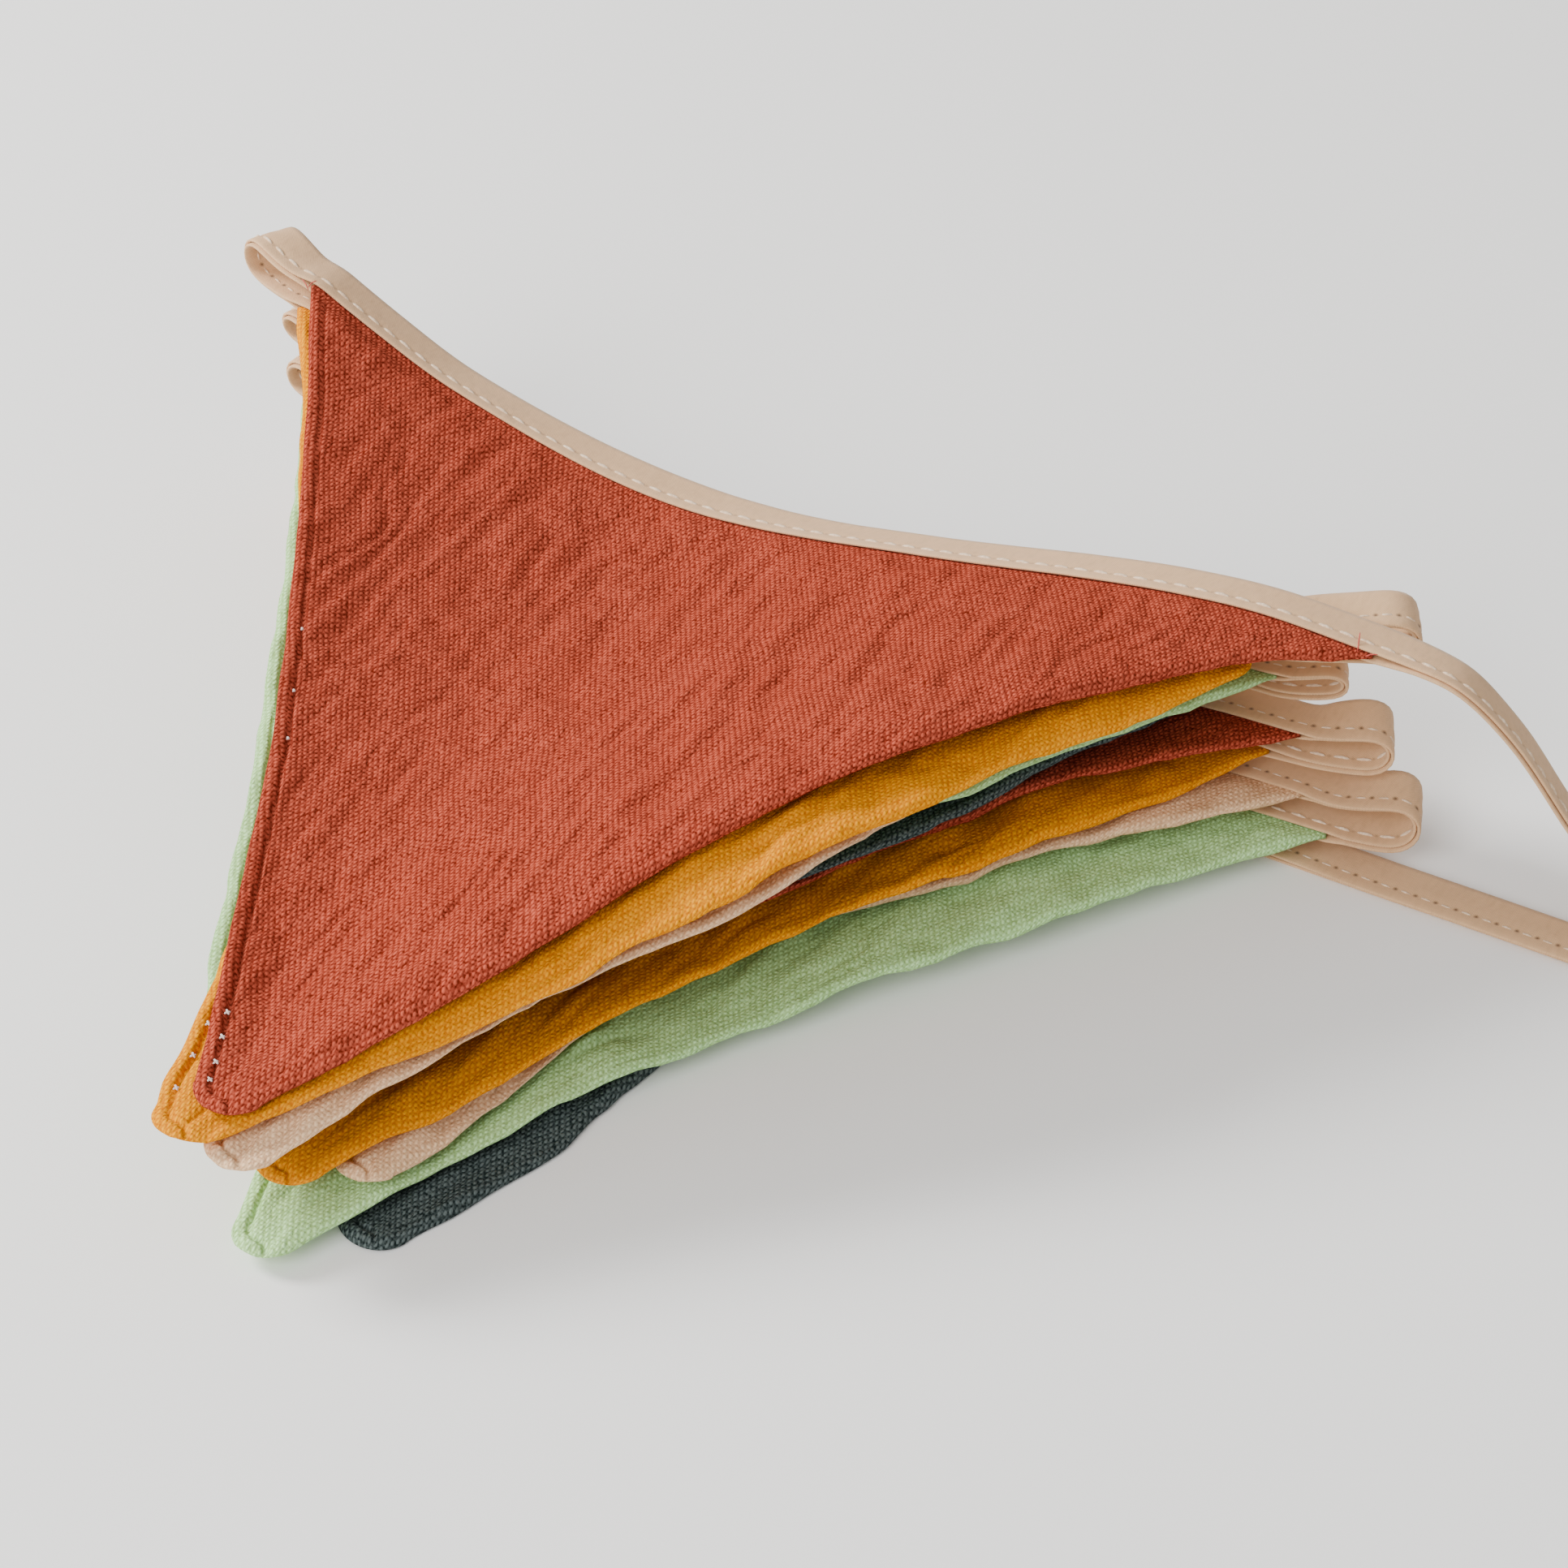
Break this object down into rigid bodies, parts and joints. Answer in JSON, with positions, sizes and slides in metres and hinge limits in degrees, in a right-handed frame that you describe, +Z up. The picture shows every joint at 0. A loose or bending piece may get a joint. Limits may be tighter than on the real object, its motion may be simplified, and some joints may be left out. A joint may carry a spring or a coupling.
{
  "type": "folded fabric bunting",
  "caption": "Garland of triangular double-gauze flags in muted colours on a beige tape, folded to and fro into one loose pile with both tie ends lying out to one side.",
  "frame": {"origin": "on the surface, under the middle of the whole garland's box", "axes": "+Z up; the tape's runs lie along X with the free ends at +X, and the flags' tips point to -Y"},
  "size_m": [0.2706, 0.1696, 0.0487],
  "materials": {
    "terracotta_gauze": "crinkled double gauze, matt",
    "mustard_gauze": "crinkled double gauze, matt",
    "sand_gauze": "crinkled double gauze, matt",
    "mint_gauze": "crinkled double gauze, matt",
    "charcoal_gauze": "crinkled double gauze, matt",
    "tape_cotton": "fine plain cotton, folded and topstitched, matt"
  },
  "bodies": {
    "root": {"flag_01_terracotta": "terracotta_gauze", "flag_02_mustard": "mustard_gauze", "flag_03_sand": "sand_gauze", "flag_04_mint": "mint_gauze", "flag_05_charcoal": "charcoal_gauze", "flag_06_terracotta": "terracotta_gauze", "flag_07_mustard": "mustard_gauze", "flag_08_sand": "sand_gauze", "flag_09_mint": "mint_gauze", "flag_10_charcoal": "charcoal_gauze", "tape": "tape_cotton"}
  },
  "joints": []
}
